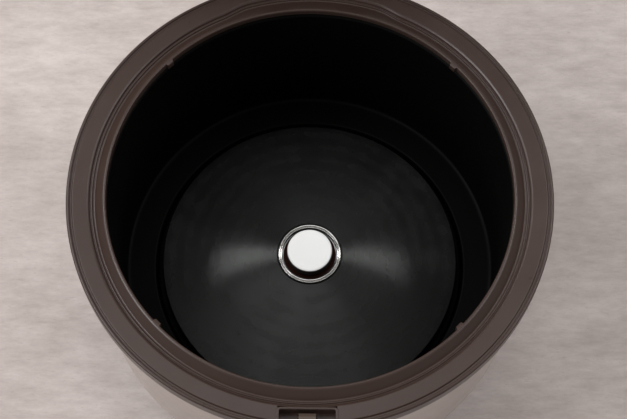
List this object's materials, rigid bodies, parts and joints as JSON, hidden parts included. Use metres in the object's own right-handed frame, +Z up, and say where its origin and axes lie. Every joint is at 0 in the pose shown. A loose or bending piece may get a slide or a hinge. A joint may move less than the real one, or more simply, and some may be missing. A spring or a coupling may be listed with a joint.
{
  "type": "rice cooker",
  "caption": "Large round rice cooker with a hinged lid standing open, a sprung latch, a crowned heater plate with a sprung sensor cap in an open well, and a cook lever.",
  "frame": {"origin": "centre of the pot opening, in the plane of the rim's outer lip", "axes": "+Z up along the well's axis, -Y towards the front with the latch and controls, +X to the right seen from the front"},
  "size_m": [0.3699, 0.4686, 0.6056],
  "materials": {
    "rim_plastic": "satin dark brown moulding",
    "shell_paint": "champagne metallic paint",
    "well_black": "black non-stick coating",
    "plate_coat": "turned and dark coated",
    "cap_aluminium": "satin",
    "chrome": "polished",
    "copper": "bright",
    "spring_steel": "drawn wire",
    "zinc_steel": "zinc plated",
    "ferrite": "sintered",
    "bare_aluminium": "anodised",
    "heater_tape": "foil",
    "glass_wool": "felted",
    "dark_base": "textured dark brown moulding",
    "panel_plastic": "gloss dark brown",
    "lens_red": "tinted",
    "lamp_glass": "clear",
    "switch_plastic": "moulded",
    "rocker_plastic": "gloss",
    "board": "phenolic board",
    "foot_rubber": "matt",
    "catch_plastic": "satin brown moulding",
    "seal_silicone": "silicone",
    "lid_plastic": "champagne metallic finish",
    "liner_plastic": "dark brown moulding",
    "collector_clear": "translucent",
    "brass_pin": "nickel-free brass",
    "fuse_white": "ceramic sleeve"
  },
  "bodies": {
    "cooker": {"rim_ring": "rim_plastic", "well": "well_black", "heater_plate": "plate_coat", "heating_element": "zinc_steel", "sensor_ring": "chrome", "sensor_housing": "zinc_steel", "sensor_spring": "spring_steel", "plate_legs": "bare_aluminium", "side_heater": "heater_tape", "insulation": "glass_wool", "well_supports": "zinc_steel", "thermal_fuse": "fuse_white", "fuse_clip": "zinc_steel", "outer_shell": "shell_paint", "base_tub": "dark_base", "bottom_cover": "zinc_steel", "feet": "foot_rubber", "lamp_lenses": "lens_red", "lamps": "lamp_glass", "lamp_board": "board", "front_panel": "panel_plastic", "rocker_frame": "switch_plastic", "lever_bracket": "zinc_steel", "lever_pin": "zinc_steel", "micro_switch": "switch_plastic", "switch_tabs": "brass_pin", "latch_pocket": "rim_plastic", "hook_pin": "zinc_steel", "latch_spring": "spring_steel", "button_bezel": "rim_plastic", "hinge_bracket": "dark_base", "hinge_pin": "zinc_steel", "hinge_spring": "spring_steel", "collector_rails": "dark_base", "drain_spout": "dark_base", "mains_inlet": "switch_plastic", "inlet_pins": "brass_pin", "body_screws": "zinc_steel"},
    "lid": {"lid_cover": "lid_plastic", "lid_liner": "liner_plastic", "lid_arm": "dark_base", "lid_screws": "zinc_steel", "lid_keeper": "zinc_steel", "lid_post": "catch_plastic", "vent_sleeve": "liner_plastic"},
    "inner_lid": {"inner_lid": "bare_aluminium", "inner_lid_gasket": "seal_silicone", "inner_lid_grommet": "seal_silicone"},
    "steam_vent": {"steam_vent": "dark_base"},
    "latch_hook": {"latch_hook": "catch_plastic"},
    "release_button": {"release_button": "rocker_plastic"},
    "cook_switch": {"cook_lever": "zinc_steel", "cook_paddle": "panel_plastic"},
    "magnet": {"magnet": "ferrite", "magnet_rod": "zinc_steel"},
    "sensor": {"sensor_cap": "cap_aluminium", "sensor_collar": "copper", "sensor_ferrite": "ferrite"},
    "warm_rocker": {"warm_rocker": "rocker_plastic"},
    "dew_collector": {"dew_collector": "collector_clear"}
  },
  "joints": [
    {"name": "lid_hinge", "type": "hinge", "parent": "cooker", "child": "lid", "pos_m": [0, 0.19, 0.006], "axis": [1, 0, 0], "range_deg": [0, 100], "deforming": ["hinge_spring"]},
    {"name": "inner_lid_slide", "type": "slide", "parent": "lid", "child": "inner_lid", "axis": [0, -0.9848, 0.1736], "range_m": [0, 0.05]},
    {"name": "vent_lift", "type": "slide", "parent": "lid", "child": "steam_vent", "axis": [0, 0.9848, -0.1736], "range_m": [0, 0.05]},
    {"name": "button_press", "type": "slide", "parent": "cooker", "child": "release_button", "axis": [0, 1, 0], "range_m": [0, 0.002], "stiffness_N_per_m": 400, "springref_m": -0.001},
    {"name": "hook_swing", "type": "hinge", "parent": "cooker", "child": "latch_hook", "pos_m": [0, -0.1758, -0.018], "axis": [1, 0, 0], "range_deg": [0, 9], "deforming": ["latch_spring"]},
    {"name": "cook_press", "type": "hinge", "parent": "cooker", "child": "cook_switch", "pos_m": [0, -0.095, -0.176], "axis": [1, 0, 0], "range_deg": [0, 5], "stiffness_Nm_per_rad": 0.5, "springref_deg": -22.92},
    {"name": "magnet_lift", "type": "slide", "parent": "cooker", "child": "magnet", "axis": [0, 0, 1], "range_m": [0, 0.0084]},
    {"name": "sensor_press", "type": "slide", "parent": "cooker", "child": "sensor", "axis": [0, 0, -1], "range_m": [0, 0.005], "stiffness_N_per_m": 600, "springref_m": -0.004, "deforming": ["sensor_spring"]},
    {"name": "warm_rock", "type": "hinge", "parent": "cooker", "child": "warm_rocker", "pos_m": [0, -0.17495, -0.112], "axis": [1, 0, 0], "range_deg": [0, 12]},
    {"name": "collector_pull", "type": "slide", "parent": "cooker", "child": "dew_collector", "axis": [0, 1, 0], "range_m": [0, 0.04]}
  ],
  "couplings": [
    {"joint": "hook_swing", "follows": "button_press", "rad_per_m": 76.923},
    {"joint": "magnet_lift", "follows": "cook_press", "m_per_rad": 0.095}
  ]
}
